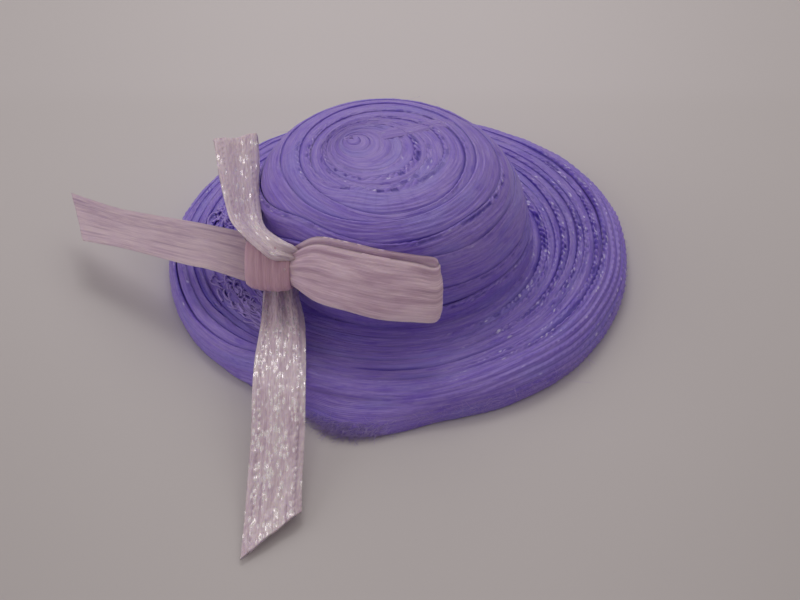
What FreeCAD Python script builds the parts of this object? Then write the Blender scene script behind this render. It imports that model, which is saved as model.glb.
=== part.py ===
import FreeCAD, Part
import os
import Sketcher
from FreeCAD import Placement, Rotation, Vector

# Miniature hat wound from narrow satin ribbon, with a ribbon bow.
# The ribbon is laid in overlapping laps: over a stiffened cap for the crown,
# then outward as nested cones for the brim, and last round the brim's edge.
# The frame's origin is the centre of the head opening on the plane that the
# hat lies on, +Z is up through the crown and -Y is the front, by the bow.

os.makedirs("parts", exist_ok=True)
doc = FreeCAD.newDocument("ribbon_hat")
sheet = doc.addObject("Spreadsheet::Sheet", "Sizes")

STATIONS_TO_BASE = 14    # equal steps of angle from the crown's tip to its foot
STATIONS_PER_LAP = 4     # stations that one ribbon width spans
STATIONS_SHOWN = 2       # stations of each lap that the next one leaves showing
CROWN_LAPS = 6
BRIM_LAPS = 9
QUARTER_TURN = 90        # degrees from the crown's foot up to its tip
CLOSE = 1e-6             # lengths in mm nearer than this are taken as equal

SIZES = [
    ("ribbon_width", 3.0),
    ("ribbon_thick", 0.15),
    ("lap_gap", 0.03),
    ("felt_thick", 0.3),
    ("floor_gap", 0.05),
    ("crown_radius", 6.9),
    ("crown_rise", 5.8),
    ("crown_base", 2.1),
    ("crown_fullness", 3.1),
    ("cap_wall", 0.4),
    ("cap_draft", 0.1),
    ("head_radius", 6.2),
    ("brim_radius", 12.5),
    ("brim_shift", 0.5),
    ("brim_top", 2.1),
    ("brim_fall", 0.03),
    ("first_top_radius", 7.6),
    ("first_foot_radius", 9.9),
    ("top_pitch", 0.4),
    ("foot_pitch", 0.27),
    ("lap_run", 0.18),
    ("edge_roll", 1.4),
    ("edge_centre_height", 0.45),
    ("edge_sweep", 347),
    ("ring_inner", 7.3),
    ("ring_outer", 9.35),
    ("ring_top_outer", 7.5),
    ("ring_height", 1.85),
    ("knot_reach", 2.6),
    ("knot_length", 2.3),
    ("knot_depth", 1.3),
    ("knot_round", 0.5),
    ("glue_radius", 0.3),
    ("bow_width", 2.8),
    ("loop_length", 7.5),
    ("loop_depth", 1.0),
    ("right_loop_sag", 1.0),
    ("upper_loop_sag", 0.2),
    ("left_tail_length", 12.6),
    ("left_tail_drop", 2.3),
    ("left_tail_sag", 0.3),
    ("left_tail_slant", 3.2),
    ("front_tail_level", 5.6),
    ("front_tail_length", 15.2),
    ("front_tail_drop", 2.95),
    ("front_tail_slant", 2.8),
    ("front_tail_first_drop", 0.3),
    ("cut_margin", 0.3),
]
for row, (alias, value) in enumerate(SIZES, start=1):
    sheet.set(f"A{row}", alias)
    sheet.set(f"B{row}", str(value))
    sheet.setAlias(f"B{row}", alias)

# Each station of the crown's outline lies on a ray from the centre of its
# base: "out" and "up" are the ray's direction, "reach" its length to the cap.
last_station = STATIONS_TO_BASE + STATIONS_SHOWN
row = len(SIZES)
for station in range(last_station + 1):
    ray = f"({QUARTER_TURN * (STATIONS_TO_BASE - station)} deg / {STATIONS_TO_BASE})"
    formulas = {
        f"out_{station}": f"=cos{ray}",
        f"up_{station}": f"=sin{ray}",
        f"reach_{station}":
            f"=((abs(cos{ray}) / crown_radius) ^ crown_fullness"
            f" + (abs(sin{ray}) / crown_rise) ^ crown_fullness)"
            " ^ (-1 / crown_fullness)",
    }
    for alias, formula in formulas.items():
        row += 1
        sheet.set(f"A{row}", alias)
        sheet.set(f"B{row}", formula)
        sheet.setAlias(f"B{row}", alias)
doc.recompute()


def value_of(expression):
    """Number that an expression of sheet sizes gives now."""
    result = sheet.evalExpression(expression)
    return float(getattr(result, "Value", result))


def origin_plane(body, role):
    """One of a body's own origin planes, by its role."""
    for feature in body.Origin.OriginFeatures:
        if feature.Role == role:
            return feature
    raise RuntimeError(f"no plane {role}")


def new_body(name):
    body = doc.addObject("PartDesign::Body", name)
    body.Label = name
    return body


def new_sketch(body, name, role):
    sketch = body.newObject("Sketcher::SketchObject", name)
    sketch.AttachmentSupport = [(origin_plane(body, role), "")]
    sketch.MapMode = "FlatFace"
    return sketch


def bind_point(sketch, edge, end, point, tag):
    """Hold one end of an edge at two sheet expressions, or on the upright axis."""
    for kind, axis, expression in (("DistanceX", "across", point[0]),
                                   ("DistanceY", "up", point[1])):
        if expression == "0":
            on_axis = -2 if kind == "DistanceX" else -1
            sketch.addConstraint(Sketcher.Constraint("PointOnObject", edge, end, on_axis))
            continue
        number = sketch.addConstraint(
            Sketcher.Constraint(kind, -1, 1, edge, end, value_of(expression)))
        sketch.renameConstraint(number, f"{axis}_{tag}")
        sketch.setExpression(f"Constraints.{axis}_{tag}", expression)


def closed_outline(sketch, points, arcs=None):
    """Closed outline through bound points. Each entry of arcs maps an edge to
    the side it bulges to (1 right, -1 left of its direction) and its radius."""
    arcs = arcs or {}
    at = [Vector(value_of(x), value_of(y), 0) for x, y in points]
    count = len(points)
    for edge in range(count):
        start, end = at[edge], at[(edge + 1) % count]
        if edge in arcs:
            side, radius = arcs[edge]
            half = (end - start) * 0.5
            reach = value_of(radius)
            depth = max(reach ** 2 - half.Length ** 2, 0.0) ** 0.5
            left = Vector(-half.y, half.x, 0).normalize()
            middle = start + half - left * side * (reach - depth)
            sketch.addGeometry(Part.Arc(start, middle, end), False)
        else:
            sketch.addGeometry(Part.LineSegment(start, end), False)

    def edge_ends(edge):
        """Numbers of an edge's start and end points, as the sketch holds them."""
        first = sketch.getPoint(edge, 1)
        return (1, 2) if (first - at[edge]).Length < CLOSE else (2, 1)

    for edge in range(count):
        following = (edge + 1) % count
        sketch.addConstraint(Sketcher.Constraint(
            "Coincident", edge, edge_ends(edge)[1], following, edge_ends(following)[0]))
    for edge in range(count):
        bind_point(sketch, edge, edge_ends(edge)[0], points[edge], str(edge))
        if edge in arcs:
            radius = arcs[edge][1]
            span = at[(edge + 1) % count] - at[edge]
            if abs(span.Length - 2 * value_of(radius)) < CLOSE:
                # A half turn: its centre is level with its upright ends.
                sketch.addConstraint(Sketcher.Constraint(
                    "Vertical", edge, edge_ends(edge)[0], edge, 3))
                continue
            number = sketch.addConstraint(
                Sketcher.Constraint("Radius", edge, value_of(radius)))
            sketch.renameConstraint(number, f"radius_{edge}")
            sketch.setExpression(f"Constraints.radius_{edge}", radius)


def turned(name, points, arcs=None, sweep=None):
    """Body turned round the upright axis from an outline in radius and height."""
    body = new_body(name)
    sketch = new_sketch(body, f"{name}_outline", "XZ_Plane")
    closed_outline(sketch, points, arcs)
    revolve = body.newObject("PartDesign::Revolution", f"{name}_turn")
    revolve.Profile = sketch
    revolve.ReferenceAxis = (sketch, ["V_Axis"])
    revolve.Angle = 360
    if sweep:
        revolve.setExpression("Angle", sweep)
    sketch.Visibility = False
    return body


def banded(name, points, arcs, width):
    """Body padded evenly to both sides of an outline seen along the ribbon's width."""
    body = new_body(name)
    sketch = new_sketch(body, f"{name}_outline", "XZ_Plane")
    closed_outline(sketch, points, arcs)
    pad = body.newObject("PartDesign::Pad", f"{name}_pad")
    pad.Profile = sketch
    pad.Midplane = True
    pad.setExpression("Length", width)
    sketch.Visibility = False
    return body


def slant_cut(body, name, length, slant, width):
    """Cut a ribbon's end across at a slant, so that its -Y edge is left longer."""
    sketch = new_sketch(body, f"{name}_slant", "XY_Plane")
    beyond_edge = f"({width} / 2 + Sizes.cut_margin)"
    beyond_end = f"{length} + Sizes.cut_margin"
    closed_outline(sketch, [
        (length, f"-{beyond_edge}"),
        (beyond_end, f"-{beyond_edge}"),
        (beyond_end, beyond_edge),
        (f"{length} - {slant}", beyond_edge),
    ])
    pocket = body.newObject("PartDesign::Pocket", f"{name}_cut")
    pocket.Profile = sketch
    pocket.Type = "ThroughAll"
    pocket.Midplane = True
    sketch.Visibility = False


def station_point(station, height):
    """Point a height above the cap, on a station's ray."""
    reach = f"(Sizes.reach_{station} + {height})"
    across = "0" if station == 0 else f"{reach} * Sizes.out_{station}"
    return across, f"Sizes.crown_base + {reach} * Sizes.up_{station}"


lap_step = "(Sizes.ribbon_thick + Sizes.lap_gap)"
bodies = []

# Crown: stiffened cap, the wound start at the tip, then laps down the side.
cap_floor = "Sizes.felt_thick + Sizes.floor_gap"
cap_outside = [station_point(station, "0") for station in range(STATIONS_TO_BASE + 1)]
cap_inside = [station_point(station, "(-Sizes.cap_wall)")
              for station in range(STATIONS_TO_BASE, -1, -1)]
cap_foot = [
    ("Sizes.crown_radius - Sizes.cap_draft", cap_floor),
    ("Sizes.crown_radius - Sizes.cap_draft - Sizes.cap_wall", cap_floor),
]
bodies.append(turned("crown_form", cap_outside + cap_foot + cap_inside))

tip_outside = [
    station_point(station, f"(Sizes.lap_gap + Sizes.ribbon_thick + {lap_step}"
                           f" * {(STATIONS_PER_LAP - station) / STATIONS_SHOWN})")
    for station in range(STATIONS_PER_LAP + 1)
]
tip_inside = [station_point(station, "Sizes.lap_gap")
              for station in range(STATIONS_PER_LAP, -1, -1)]
bodies.append(turned("crown_tip_coil", tip_outside + tip_inside))

for lap in range(1, CROWN_LAPS + 1):
    first = lap * STATIONS_SHOWN
    stations = range(first, first + STATIONS_PER_LAP + 1)
    under = {
        station: f"(Sizes.lap_gap + {lap_step}"
                 f" * {(first + STATIONS_PER_LAP - station) / STATIONS_SHOWN})"
        for station in stations
    }
    outside = [station_point(station, f"({under[station]} + Sizes.ribbon_thick)")
               for station in stations]
    inside = [station_point(station, under[station]) for station in reversed(stations)]
    bodies.append(turned(f"crown_lap_{lap}", outside + inside))

# Band that lines the head opening, one ribbon wide.
band_outer = "Sizes.head_radius + Sizes.ribbon_thick"
bodies.append(turned("head_band", [
    ("Sizes.head_radius", "0"),
    (band_outer, "0"),
    (band_outer, "Sizes.ribbon_width"),
    ("Sizes.head_radius", "Sizes.ribbon_width"),
]))

# Stiff ring under the first brim laps, round the crown's foot.
bodies.append(turned("brim_form", [
    ("Sizes.ring_inner", cap_floor),
    ("Sizes.ring_outer", cap_floor),
    ("Sizes.ring_top_outer", "Sizes.ring_height"),
    ("Sizes.ring_inner", "Sizes.ring_height"),
]))

# Brim: nested cones, each centred a little nearer to the brim's own centre.
for lap in range(1, BRIM_LAPS + 1):
    top = f"Sizes.first_top_radius + Sizes.top_pitch * {lap - 1}"
    foot = f"Sizes.first_foot_radius + Sizes.foot_pitch * {lap - 1}"
    height = f"Sizes.brim_top - Sizes.brim_fall * {lap - 1}"
    body = turned(f"brim_lap_{lap}", [
        (top, height),
        (foot, cap_floor),
        (f"{foot} - Sizes.lap_run", cap_floor),
        (f"{top} - Sizes.lap_run", height),
    ])
    share = lap / (BRIM_LAPS + 1)
    body.setExpression("Placement.Base.x", f"Sizes.brim_shift * {share}")
    body.setExpression("Placement.Base.y", f"Sizes.brim_shift * {share}")
    bodies.append(body)

# Last lap, rolled over the brim's edge, with its cut end under the front tail.
roll_radius = "Sizes.brim_radius - Sizes.edge_roll"
inner_roll = "(Sizes.edge_roll - Sizes.ribbon_thick)"
foot_drop = f"(Sizes.edge_centre_height - {cap_floor})"
edge_lap = turned("brim_lap_edge", [
    (roll_radius, "Sizes.edge_centre_height + Sizes.edge_roll"),
    (f"{roll_radius} + sqrt(Sizes.edge_roll ^ 2 - {foot_drop} ^ 2)", cap_floor),
    (f"{roll_radius} + sqrt({inner_roll} ^ 2 - {foot_drop} ^ 2)", cap_floor),
    (roll_radius, f"Sizes.edge_centre_height + {inner_roll}"),
], arcs={0: (-1, "Sizes.edge_roll"), 2: (1, inner_roll)}, sweep="Sizes.edge_sweep")
CUT_END_BEARING = -111
edge_lap.Placement = Placement(Vector(0, 0, 0), Rotation(Vector(0, 0, 1), CUT_END_BEARING))
edge_lap.setExpression("Placement.Base.x", "Sizes.brim_shift")
edge_lap.setExpression("Placement.Base.y", "Sizes.brim_shift")
bodies.append(edge_lap)

# Felt facing that the brim laps are glued down to.
facing = new_body("brim_facing")
facing_sketch = new_sketch(facing, "brim_facing_outline", "XY_Plane")
for number, (centre, radius) in enumerate((
        ("0", "Sizes.head_radius + Sizes.ribbon_thick + Sizes.floor_gap"),
        ("Sizes.brim_shift", "Sizes.brim_radius - Sizes.brim_shift"))):
    place = Vector(value_of(centre), value_of(centre), 0)
    circle = Part.Circle(place, Vector(0, 0, 1), value_of(radius))
    facing_sketch.addGeometry(circle, False)
    bind_point(facing_sketch, number, 3, (centre, centre), f"centre_{number}")
    held = facing_sketch.addConstraint(
        Sketcher.Constraint("Radius", number, value_of(radius)))
    facing_sketch.renameConstraint(held, f"radius_{number}")
    facing_sketch.setExpression(f"Constraints.radius_{number}", radius)
facing_pad = facing.newObject("PartDesign::Pad", "brim_facing_pad")
facing_pad.Profile = facing_sketch
facing_pad.setExpression("Length", "Sizes.felt_thick")
facing_sketch.Visibility = False
bodies.append(facing)

# Bow. Each strip runs along its own +X from the knot, its width along +Y.
# A tilt is a yaw, a pitch and a roll in degrees.
KNOT_CENTRE = Vector(-6.55, -5.55, 5.08)
KNOT_TILT = Rotation(-20, 0, 45)
RIGHT_LOOP_START = Vector(-5.2, -6.0, 5.4)
RIGHT_LOOP_TILT = Rotation(-14, -1, 50)
UPPER_LOOP_START = Vector(-7.6, -4.15, 6.2)
UPPER_LOOP_TILT = Rotation(100, -8, 30)
LEFT_TAIL_START = Vector(-7.55, -4.15, 4.6)
LEFT_TAIL_TILT = Rotation(149.5, 0, 4)
FRONT_TAIL_START = Vector(-5.75, -6.5, 3.3)
FRONT_TAIL_TILT = Rotation(-90, 0, 0)
half_depth = "Sizes.knot_depth / 2"
half_reach = "Sizes.knot_reach / 2"


def boxed(name, length, reach, depth):
    """Body: a rounded block along the bow, the length along +X."""
    body = new_body(name)
    sketch = new_sketch(body, f"{name}_outline", "YZ_Plane")
    closed_outline(sketch, [
        (f"-({reach})", f"-({depth})"),
        (reach, f"-({depth})"),
        (reach, depth),
        (f"-({reach})", depth),
    ])
    pad = body.newObject("PartDesign::Pad", f"{name}_pad")
    pad.Profile = sketch
    pad.Midplane = True
    pad.setExpression("Length", length)
    sketch.Visibility = False
    return body, pad


def long_edges(feature, length):
    """Names of a block's straight edges that run its whole length, along X."""
    return [f"Edge{number}" for number, edge in enumerate(feature.Shape.Edges, start=1)
            if abs(edge.Length - length) < CLOSE and abs(abs(edge.tangentAt(0).x) - 1) < CLOSE]


knot, knot_pad = boxed("bow_knot", "Sizes.knot_length", half_reach, half_depth)
doc.recompute()
knot_round = knot.newObject("PartDesign::Fillet", "bow_knot_round")
knot_round.Base = (knot_pad, long_edges(knot_pad, value_of("Sizes.knot_length")))
knot_round.setExpression("Radius", "Sizes.knot_round")
core_half_reach = f"({half_reach} - Sizes.ribbon_thick - Sizes.lap_gap)"
core_half_depth = f"({half_depth} - Sizes.ribbon_thick - Sizes.lap_gap)"
core_sketch = new_sketch(knot, "bow_knot_bore", "YZ_Plane")
closed_outline(core_sketch, [
    (f"-{half_reach} + Sizes.ribbon_thick", f"-{half_depth} + Sizes.ribbon_thick"),
    (f"{half_reach} - Sizes.ribbon_thick", f"-{half_depth} + Sizes.ribbon_thick"),
    (f"{half_reach} - Sizes.ribbon_thick", f"{half_depth} - Sizes.ribbon_thick"),
    (f"-{half_reach} + Sizes.ribbon_thick", f"{half_depth} - Sizes.ribbon_thick"),
])
core_cut = knot.newObject("PartDesign::Pocket", "bow_knot_hollow")
core_cut.Profile = core_sketch
core_cut.Type = "ThroughAll"
core_cut.Midplane = True
core_sketch.Visibility = False
knot.Placement = Placement(KNOT_CENTRE, KNOT_TILT)
bodies.append(knot)

core, core_pad = boxed("bow_core", "Sizes.knot_length", core_half_reach, core_half_depth)
core.Placement = Placement(KNOT_CENTRE, KNOT_TILT)
bodies.append(core)

# Dot of glue that holds the knot to the crown's side.
glue = doc.addObject("Part::Sphere", "bow_glue")
glue.Label = "bow_glue"
glue.setExpression("Radius", "Sizes.glue_radius")
behind_knot = KNOT_TILT.multVec(Vector(0, 0, -1))
glue_offset = value_of(f"{half_depth} + Sizes.lap_gap + Sizes.glue_radius")
glue.Placement = Placement(KNOT_CENTRE + behind_knot * glue_offset, Rotation())
bodies.append(glue)

# Loops: one strip out and back, folded round at the far end.
half_fold = "Sizes.loop_depth / 2"
inner_fold = "(Sizes.loop_depth / 2 - Sizes.ribbon_thick)"
mouth = "Sizes.loop_depth / 4"
inner_mouth = "(Sizes.loop_depth / 4 - Sizes.ribbon_thick)"
fold_start = f"(Sizes.loop_length - {half_fold})"
for name, sag, base, turn in (
        ("bow_loop_right", "Sizes.right_loop_sag", RIGHT_LOOP_START, RIGHT_LOOP_TILT),
        ("bow_loop_upper", "Sizes.upper_loop_sag", UPPER_LOOP_START, UPPER_LOOP_TILT)):
    loop_bend = f"({fold_start} ^ 2 / (8 * {sag}) + {sag} / 2)"
    loop = banded(name, [
        ("0", f"-{mouth}"),
        (fold_start, f"-{half_fold}"),
        (fold_start, half_fold),
        ("0", mouth),
        ("0", inner_mouth),
        (fold_start, inner_fold),
        (fold_start, f"-{inner_fold}"),
        ("0", f"-{inner_mouth}"),
    ], {
        0: (-1, loop_bend),
        1: (1, half_fold),
        2: (1, loop_bend),
        4: (-1, loop_bend),
        5: (-1, inner_fold),
        6: (1, loop_bend),
    }, "Sizes.bow_width")
    loop.Placement = Placement(base, turn)
    bodies.append(loop)

# Left tail: runs out over the brim and hangs clear of the ground.
sag_radius = ("(Sizes.left_tail_length ^ 2 + Sizes.left_tail_drop ^ 2)"
              " / (8 * Sizes.left_tail_sag)")
left_tail = banded("bow_tail_left", [
    ("0", "0"),
    ("Sizes.left_tail_length", "-Sizes.left_tail_drop"),
    ("Sizes.left_tail_length", "Sizes.ribbon_thick - Sizes.left_tail_drop"),
    ("0", "Sizes.ribbon_thick"),
], {0: (1, sag_radius), 2: (-1, sag_radius)}, "Sizes.bow_width")
slant_cut(left_tail, "bow_tail_left", "Sizes.left_tail_length",
          "Sizes.left_tail_slant", "Sizes.bow_width")
left_tail.Placement = Placement(LEFT_TAIL_START, LEFT_TAIL_TILT)
bodies.append(left_tail)

# Front tail: lies over the brim, then slopes down to the ground.
front_tail = banded("bow_tail_front", [
    ("0", "0"),
    ("Sizes.front_tail_level", "-Sizes.front_tail_first_drop"),
    ("Sizes.front_tail_length", "-Sizes.front_tail_drop"),
    ("Sizes.front_tail_length", "Sizes.ribbon_thick - Sizes.front_tail_drop"),
    ("Sizes.front_tail_level", "Sizes.ribbon_thick - Sizes.front_tail_first_drop"),
    ("0", "Sizes.ribbon_thick"),
], {}, "Sizes.bow_width")
slant_cut(front_tail, "bow_tail_front", "Sizes.front_tail_length",
          "Sizes.front_tail_slant", "Sizes.bow_width")
front_tail.Placement = Placement(FRONT_TAIL_START, FRONT_TAIL_TILT)
bodies.append(front_tail)

doc.recompute()

for item in doc.Objects:
    bad = [flag for flag in item.State if flag in ("Invalid", "Error")]
    if bad:
        raise RuntimeError(f"{item.Name}: {bad}")
for item in bodies:
    shape = item.Shape
    if shape.isNull() or not shape.isValid() or len(shape.Solids) != 1:
        raise RuntimeError(f"{item.Label}: bad shape")
    shape.exportStep(f"parts/{item.Label}.step")
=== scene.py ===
"""Looks for the miniature ribbon hat: its visible pieces, their materials, the light and the camera.

Lengths are in millimetres in the part's own frame, and become metres as meshes are made. The floor and the
lamps are given in metres.
"""

import math

import bpy
import numpy as np
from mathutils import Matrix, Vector


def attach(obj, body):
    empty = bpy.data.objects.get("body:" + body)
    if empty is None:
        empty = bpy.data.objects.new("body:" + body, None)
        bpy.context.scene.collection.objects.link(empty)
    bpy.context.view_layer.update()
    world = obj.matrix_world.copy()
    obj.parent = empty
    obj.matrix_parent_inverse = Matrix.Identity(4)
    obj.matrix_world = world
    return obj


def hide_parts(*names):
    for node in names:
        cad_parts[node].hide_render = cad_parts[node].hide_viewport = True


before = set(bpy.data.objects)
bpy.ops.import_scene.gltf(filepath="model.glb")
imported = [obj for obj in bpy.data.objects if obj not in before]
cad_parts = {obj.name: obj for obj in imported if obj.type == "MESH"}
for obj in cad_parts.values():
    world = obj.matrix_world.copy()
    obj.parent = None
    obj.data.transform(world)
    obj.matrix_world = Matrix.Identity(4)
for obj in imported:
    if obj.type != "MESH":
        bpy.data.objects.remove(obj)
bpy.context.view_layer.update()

MM = 0.001
ROOT = "root"
TAU = 2 * math.pi
YARN_PITCH = 0.19

# ---------------- helpers: numbers


def smoothstep(low, high, x):
    """0 at low and before it, 1 at high and past it, with a smooth rise between."""
    s = np.clip((x - low) / (high - low), 0.0, 1.0)
    return s * s * (3.0 - 2.0 * s)


GRAIN_TABLE = np.random.default_rng(11).uniform(-1.0, 1.0, (64, 512))


def grain(across, along, cell_across, cell_along, layer=0):
    """Smooth random field between -1 and 1, with cells of the given size. Each layer is a field of its own."""
    x = across / cell_across + 7.31 * layer
    y = along / cell_along + 31.7 * layer
    x, y = np.broadcast_arrays(x, y)
    i, j = np.floor(x).astype(int), np.floor(y).astype(int)
    fx, fy = x - i, y - j
    fx, fy = fx * fx * (3 - 2 * fx), fy * fy * (3 - 2 * fy)
    rows, cols = GRAIN_TABLE.shape
    a = GRAIN_TABLE[i % rows, j % cols]
    b = GRAIN_TABLE[(i + 1) % rows, j % cols]
    c = GRAIN_TABLE[i % rows, (j + 1) % cols]
    d = GRAIN_TABLE[(i + 1) % rows, (j + 1) % cols]
    return (a * (1 - fx) + b * fx) * (1 - fy) + (c * (1 - fx) + d * fx) * fy


def blurred(values, width):
    """Gaussian blur of a long row, its ends held."""
    half = int(3 * width)
    kernel = np.exp(-0.5 * (np.arange(-half, half + 1) / width) ** 2)
    padded = np.concatenate([np.full(half, values[0]), values, np.full(half, values[-1])])
    return np.convolve(padded, kernel / kernel.sum(), "valid")


def run_along(points):
    """How far along its line each point lies."""
    return np.concatenate([[0], np.cumsum(np.linalg.norm(np.diff(points, axis=0), axis=1))])


def spline(points, samples):
    """Points spaced evenly along a smooth curve through the given ones."""
    p = np.asarray(points, float)
    p = np.vstack([2 * p[0] - p[1], p, 2 * p[-1] - p[-2]])
    t = np.linspace(0, 1, 24, endpoint=False)[:, None]
    spans = []
    for a, b, c, d in zip(p, p[1:], p[2:], p[3:]):
        square = 2 * a - 5 * b + 4 * c - d
        cube = 3 * b - a - 3 * c + d
        spans.append(0.5 * (2 * b + (c - a) * t + square * t**2 + cube * t**3))
    dense = np.vstack(spans + [p[-2][None]])
    run = run_along(dense)
    want = np.linspace(0, run[-1], samples)
    return np.stack([np.interp(want, run, dense[:, k]) for k in range(dense.shape[1])], -1)


def unit(v):
    return v / np.maximum(np.linalg.norm(v, axis=-1, keepdims=True), 1e-9)


def both(upper, lower=None):
    """Columns that go across a piece's upper face, then back along its lower one."""
    lower = upper if lower is None else lower
    return np.concatenate([upper, lower[:, ::-1]], 1)


# ---------------- helpers: meshes


def add_object(name, me, material):
    me.materials.append(material)
    piece = bpy.data.objects.new(name, me)
    bpy.context.scene.collection.objects.link(piece)
    return piece


def grid_mesh(name, points, uv, material, painted_shade=None, caps=True, loop=False, glint=None):
    """A piece from a grid of points: rows run along it, columns go round its section.

    With loop the last row joins the first, and otherwise caps closes the two ends.
    """
    rows, cols = points.shape[:2]
    r = np.arange(rows if loop else rows - 1)[:, None]
    c = np.arange(cols)[None, :]
    near, far, turn = r * cols, (r + 1) % rows * cols, (c + 1) % cols
    quads = np.stack([near + c, near + turn, far + turn, far + c], -1).reshape(-1, 4)
    if caps and not loop:
        k = np.arange(cols // 2 - 1)
        for row, is_last in ((0, False), (rows - 1, True)):
            cap = np.stack([k, k + 1, cols - 2 - k, cols - 1 - k], -1) + row * cols
            quads = np.vstack([quads, cap if is_last else cap[:, ::-1]])
    flat = points.reshape(-1, 3)
    corner = [flat[quads[:, k]] for k in range(4)]
    volume = sum(np.einsum("ij,ij->i", corner[0], np.cross(corner[k], corner[k + 1])).sum() for k in (1, 2))
    if volume < 0:
        quads = quads[:, ::-1]
    me = bpy.data.meshes.new(name)
    me.vertices.add(len(flat))
    me.vertices.foreach_set("co", (flat * MM).astype(np.float32).ravel())
    me.loops.add(quads.size)
    me.loops.foreach_set("vertex_index", quads.astype(np.int32).ravel())
    me.polygons.add(len(quads))
    me.polygons.foreach_set("loop_start", np.arange(0, quads.size, 4, dtype=np.int32))
    me.polygons.foreach_set("use_smooth", np.ones(len(quads), bool))
    if uv is not None:
        layer = me.uv_layers.new(name="Weave")
        layer.data.foreach_set("uv", uv.reshape(-1, 2)[quads.ravel()].astype(np.float32).ravel())
    # Per-point painted shade (darkening in hollows, under laps and in folds) and painted glints, which the
    # ribbon materials read.
    for label, values in (("painted_shade", painted_shade), ("glint", glint)):
        if values is not None:
            attribute = me.attributes.new(label, "FLOAT", "POINT")
            attribute.data.foreach_set("value", np.clip(values, 0, 1).astype(np.float32).ravel())
    me.update()
    me.validate()
    return add_object(name, me, material)


def place(piece, slot, *nodes):
    """Rides a piece on the one body and hides the CAD nodes that it stands for; slot is not used."""
    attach(piece, ROOT)
    if nodes:
        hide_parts(*nodes)
    return piece


# ---------------- materials


class Nodes:
    """Short way to write a node material."""

    def __init__(self, name):
        self.material = bpy.data.materials.new(name)
        self.material.use_nodes = True
        self.tree = self.material.node_tree
        self.bsdf = self.tree.nodes["Principled BSDF"]

    def set(self, **values):
        for key, value in values.items():
            self.put(self.bsdf.inputs[key.replace("_", " ")], value)

    def node(self, kind, **inputs):
        n = self.tree.nodes.new(kind)
        for key, value in inputs.items():
            if hasattr(n, key):
                setattr(n, key, value)
            else:
                self.put(n.inputs[key.replace("_", " ")], value)
        return n

    def put(self, socket, value):
        if isinstance(value, bpy.types.NodeSocket):
            self.tree.links.new(value, socket)
        else:
            socket.default_value = value

    def math(self, operation, a, b=0.0):
        n = self.tree.nodes.new("ShaderNodeMath")
        n.operation = operation
        for socket, value in zip(n.inputs, (a, b)):
            self.put(socket, value)
        return n.outputs[0]

    def times(self, a, b):
        return self.math("MULTIPLY", a, b)

    def noise(self, scale, **inputs):
        """A noise through the object's own space, scale in cells per metre."""
        where = self.node("ShaderNodeTexCoord").outputs["Object"]
        return self.node("ShaderNodeTexNoise", Vector=where, Scale=scale, **inputs).outputs["Fac"]

    def mix(self, factor, a, b):
        n = self.tree.nodes.new("ShaderNodeMix")
        n.data_type = "RGBA"
        self.put(n.inputs["Factor"], factor)
        self.put(n.inputs[6], a)
        self.put(n.inputs[7], b)
        return n.outputs[2]

    def weave(self, across, along, noise="ShaderNodeTexNoise", detail=2.0, **kinds):
        """A noise stretched along the ribbon: across and along are its cell sizes in millimetres."""
        uv = self.tree.nodes.new("ShaderNodeUVMap")
        uv.uv_map = "Weave"
        scale = self.tree.nodes.new("ShaderNodeMapping")
        scale.inputs["Scale"].default_value = (1 / across, 1 / along, 1)
        self.tree.links.new(uv.outputs[0], scale.inputs[0])
        n = self.tree.nodes.new(noise)
        n.inputs["Scale"].default_value = 1.0
        if noise == "ShaderNodeTexNoise":
            n.inputs["Detail"].default_value = detail
        for key, value in kinds.items():
            setattr(n, key, value)
        self.tree.links.new(scale.outputs[0], n.inputs["Vector"])
        return n

    def ramp(self, factor, low, high):
        n = self.tree.nodes.new("ShaderNodeMapRange")
        n.interpolation_type = "SMOOTHSTEP"
        self.put(n.inputs["Value"], factor)
        n.inputs["From Min"].default_value = low
        n.inputs["From Max"].default_value = high
        return n.outputs["Result"]

    def bump(self, height, distance, strength):
        n = self.tree.nodes.new("ShaderNodeBump")
        n.inputs["Strength"].default_value = strength
        n.inputs["Distance"].default_value = distance * MM
        self.tree.links.new(height, n.inputs["Height"])
        self.put(self.bsdf.inputs["Normal"], n.outputs[0])

    def attribute(self, name):
        n = self.tree.nodes.new("ShaderNodeAttribute")
        n.attribute_name = name
        return n.outputs["Fac"]


def rgb(r, g, b):
    return (r, g, b, 1.0)


def toned(colour, share):
    """A colour made darker or brighter."""
    return rgb(*(share * k for k in colour))


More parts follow.
